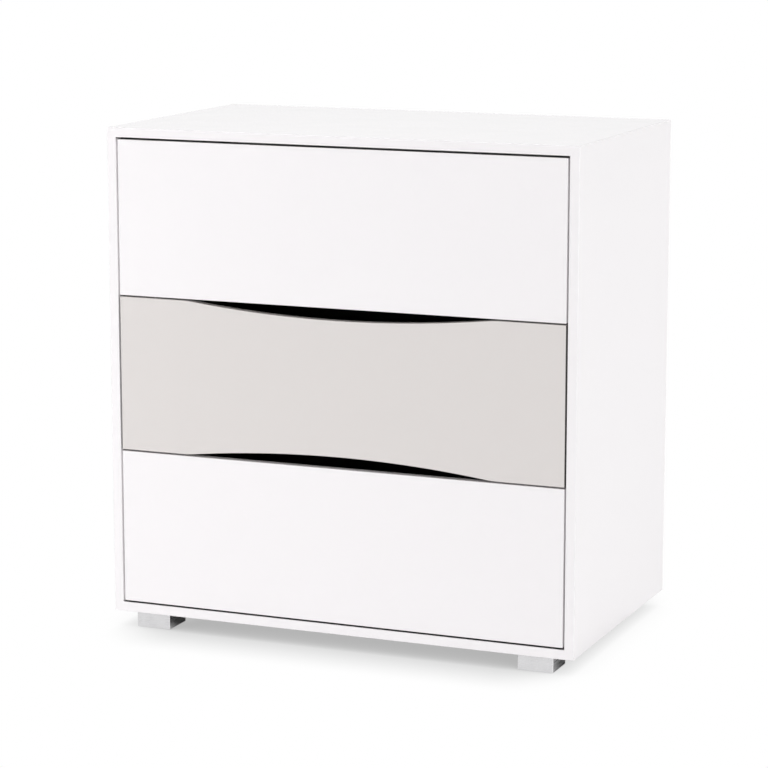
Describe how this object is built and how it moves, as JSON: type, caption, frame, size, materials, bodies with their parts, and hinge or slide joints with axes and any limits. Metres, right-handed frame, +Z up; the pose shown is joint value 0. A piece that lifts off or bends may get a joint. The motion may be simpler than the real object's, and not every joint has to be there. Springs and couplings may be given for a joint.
{
  "type": "chest of drawers",
  "caption": "Low chest of drawers with a mitred case, flush inset fronts, a scooped middle front that makes two finger slots, telescopic ball runners and square metal feet.",
  "frame": {"origin": "on the floor under the middle of the case", "axes": "+Z up, +X to the right as seen from the front, fronts facing -Y"},
  "size_m": [0.9, 0.53, 0.93],
  "materials": {
    "white_lacquer": "white high-gloss lacquer over fibreboard, fine orange peel",
    "greige_lacquer": "light warm grey high-gloss lacquer over fibreboard",
    "white_hardboard": "white painted hardboard, matte",
    "graphite_board": "graphite melamine-faced board, matte",
    "graphite_hardboard": "graphite faced hardboard, matte",
    "brushed_aluminium": "brushed and clear anodised",
    "black_plastic": "moulded, fine texture",
    "zinc_steel": "bright zinc-plated folded sheet",
    "cage_steel": "plain steel ball cage with polished balls"
  },
  "bodies": {
    "carcass": {"carcass_top": "white_lacquer", "carcass_bottom": "white_lacquer", "carcass_side_left": "white_lacquer", "carcass_side_right": "white_lacquer", "back_panel": "white_hardboard", "foot_sleeve_front_left": "brushed_aluminium", "foot_sleeve_front_right": "brushed_aluminium", "foot_sleeve_back_left": "brushed_aluminium", "foot_sleeve_back_right": "brushed_aluminium", "foot_core_front_left": "black_plastic", "foot_core_front_right": "black_plastic", "foot_core_back_left": "black_plastic", "foot_core_back_right": "black_plastic", "runner_bottom_left_cabinet_rail": "zinc_steel", "runner_bottom_right_cabinet_rail": "zinc_steel", "runner_middle_left_cabinet_rail": "zinc_steel", "runner_middle_right_cabinet_rail": "zinc_steel", "runner_top_left_cabinet_rail": "zinc_steel", "runner_top_right_cabinet_rail": "zinc_steel"},
    "drawer_bottom": {"drawer_bottom_front": "white_lacquer", "drawer_bottom_side_left": "graphite_board", "drawer_bottom_side_right": "graphite_board", "drawer_bottom_back": "graphite_board", "drawer_bottom_bottom": "graphite_hardboard", "runner_bottom_left_drawer_rail": "zinc_steel", "runner_bottom_right_drawer_rail": "zinc_steel"},
    "drawer_middle": {"drawer_middle_front": "greige_lacquer", "drawer_middle_side_left": "graphite_board", "drawer_middle_side_right": "graphite_board", "drawer_middle_back": "graphite_board", "drawer_middle_bottom": "graphite_hardboard", "runner_middle_left_drawer_rail": "zinc_steel", "runner_middle_right_drawer_rail": "zinc_steel"},
    "drawer_top": {"drawer_top_front": "white_lacquer", "drawer_top_side_left": "graphite_board", "drawer_top_side_right": "graphite_board", "drawer_top_back": "graphite_board", "drawer_top_bottom": "graphite_hardboard", "runner_top_left_drawer_rail": "zinc_steel", "runner_top_right_drawer_rail": "zinc_steel"},
    "intermediate_rails_bottom": {"runner_bottom_left_intermediate_rail": "zinc_steel", "runner_bottom_right_intermediate_rail": "zinc_steel"},
    "intermediate_rails_middle": {"runner_middle_left_intermediate_rail": "zinc_steel", "runner_middle_right_intermediate_rail": "zinc_steel"},
    "intermediate_rails_top": {"runner_top_left_intermediate_rail": "zinc_steel", "runner_top_right_intermediate_rail": "zinc_steel"},
    "outer_cages_bottom": {"runner_bottom_left_outer_cage": "cage_steel", "runner_bottom_right_outer_cage": "cage_steel"},
    "outer_cages_middle": {"runner_middle_left_outer_cage": "cage_steel", "runner_middle_right_outer_cage": "cage_steel"},
    "outer_cages_top": {"runner_top_left_outer_cage": "cage_steel", "runner_top_right_outer_cage": "cage_steel"},
    "inner_cages_bottom": {"runner_bottom_left_inner_cage": "cage_steel", "runner_bottom_right_inner_cage": "cage_steel"},
    "inner_cages_middle": {"runner_middle_left_inner_cage": "cage_steel", "runner_middle_right_inner_cage": "cage_steel"},
    "inner_cages_top": {"runner_top_left_inner_cage": "cage_steel", "runner_top_right_inner_cage": "cage_steel"}
  },
  "joints": [
    {"name": "drawer_bottom_slide", "type": "slide", "parent": "carcass", "child": "drawer_bottom", "axis": [0, -1, 0], "range_m": [0, 0.44]},
    {"name": "drawer_middle_slide", "type": "slide", "parent": "carcass", "child": "drawer_middle", "axis": [0, -1, 0], "range_m": [0, 0.44]},
    {"name": "drawer_top_slide", "type": "slide", "parent": "carcass", "child": "drawer_top", "axis": [0, -1, 0], "range_m": [0, 0.44]},
    {"name": "intermediate_rails_bottom_slide", "type": "slide", "parent": "carcass", "child": "intermediate_rails_bottom", "axis": [0, -1, 0], "range_m": [0, 0.22]},
    {"name": "intermediate_rails_middle_slide", "type": "slide", "parent": "carcass", "child": "intermediate_rails_middle", "axis": [0, -1, 0], "range_m": [0, 0.22]},
    {"name": "intermediate_rails_top_slide", "type": "slide", "parent": "carcass", "child": "intermediate_rails_top", "axis": [0, -1, 0], "range_m": [0, 0.22]},
    {"name": "outer_cages_bottom_slide", "type": "slide", "parent": "carcass", "child": "outer_cages_bottom", "axis": [0, -1, 0], "range_m": [0, 0.11]},
    {"name": "outer_cages_middle_slide", "type": "slide", "parent": "carcass", "child": "outer_cages_middle", "axis": [0, -1, 0], "range_m": [0, 0.11]},
    {"name": "outer_cages_top_slide", "type": "slide", "parent": "carcass", "child": "outer_cages_top", "axis": [0, -1, 0], "range_m": [0, 0.11]},
    {"name": "inner_cages_bottom_slide", "type": "slide", "parent": "carcass", "child": "inner_cages_bottom", "axis": [0, -1, 0], "range_m": [0, 0.33]},
    {"name": "inner_cages_middle_slide", "type": "slide", "parent": "carcass", "child": "inner_cages_middle", "axis": [0, -1, 0], "range_m": [0, 0.33]},
    {"name": "inner_cages_top_slide", "type": "slide", "parent": "carcass", "child": "inner_cages_top", "axis": [0, -1, 0], "range_m": [0, 0.33]}
  ],
  "couplings": [
    {"joint": "intermediate_rails_bottom_slide", "follows": "drawer_bottom_slide", "ratio": 0.5},
    {"joint": "intermediate_rails_middle_slide", "follows": "drawer_middle_slide", "ratio": 0.5},
    {"joint": "intermediate_rails_top_slide", "follows": "drawer_top_slide", "ratio": 0.5},
    {"joint": "outer_cages_bottom_slide", "follows": "drawer_bottom_slide", "ratio": 0.25},
    {"joint": "outer_cages_middle_slide", "follows": "drawer_middle_slide", "ratio": 0.25},
    {"joint": "outer_cages_top_slide", "follows": "drawer_top_slide", "ratio": 0.25},
    {"joint": "inner_cages_bottom_slide", "follows": "drawer_bottom_slide", "ratio": 0.75},
    {"joint": "inner_cages_middle_slide", "follows": "drawer_middle_slide", "ratio": 0.75},
    {"joint": "inner_cages_top_slide", "follows": "drawer_top_slide", "ratio": 0.75}
  ]
}
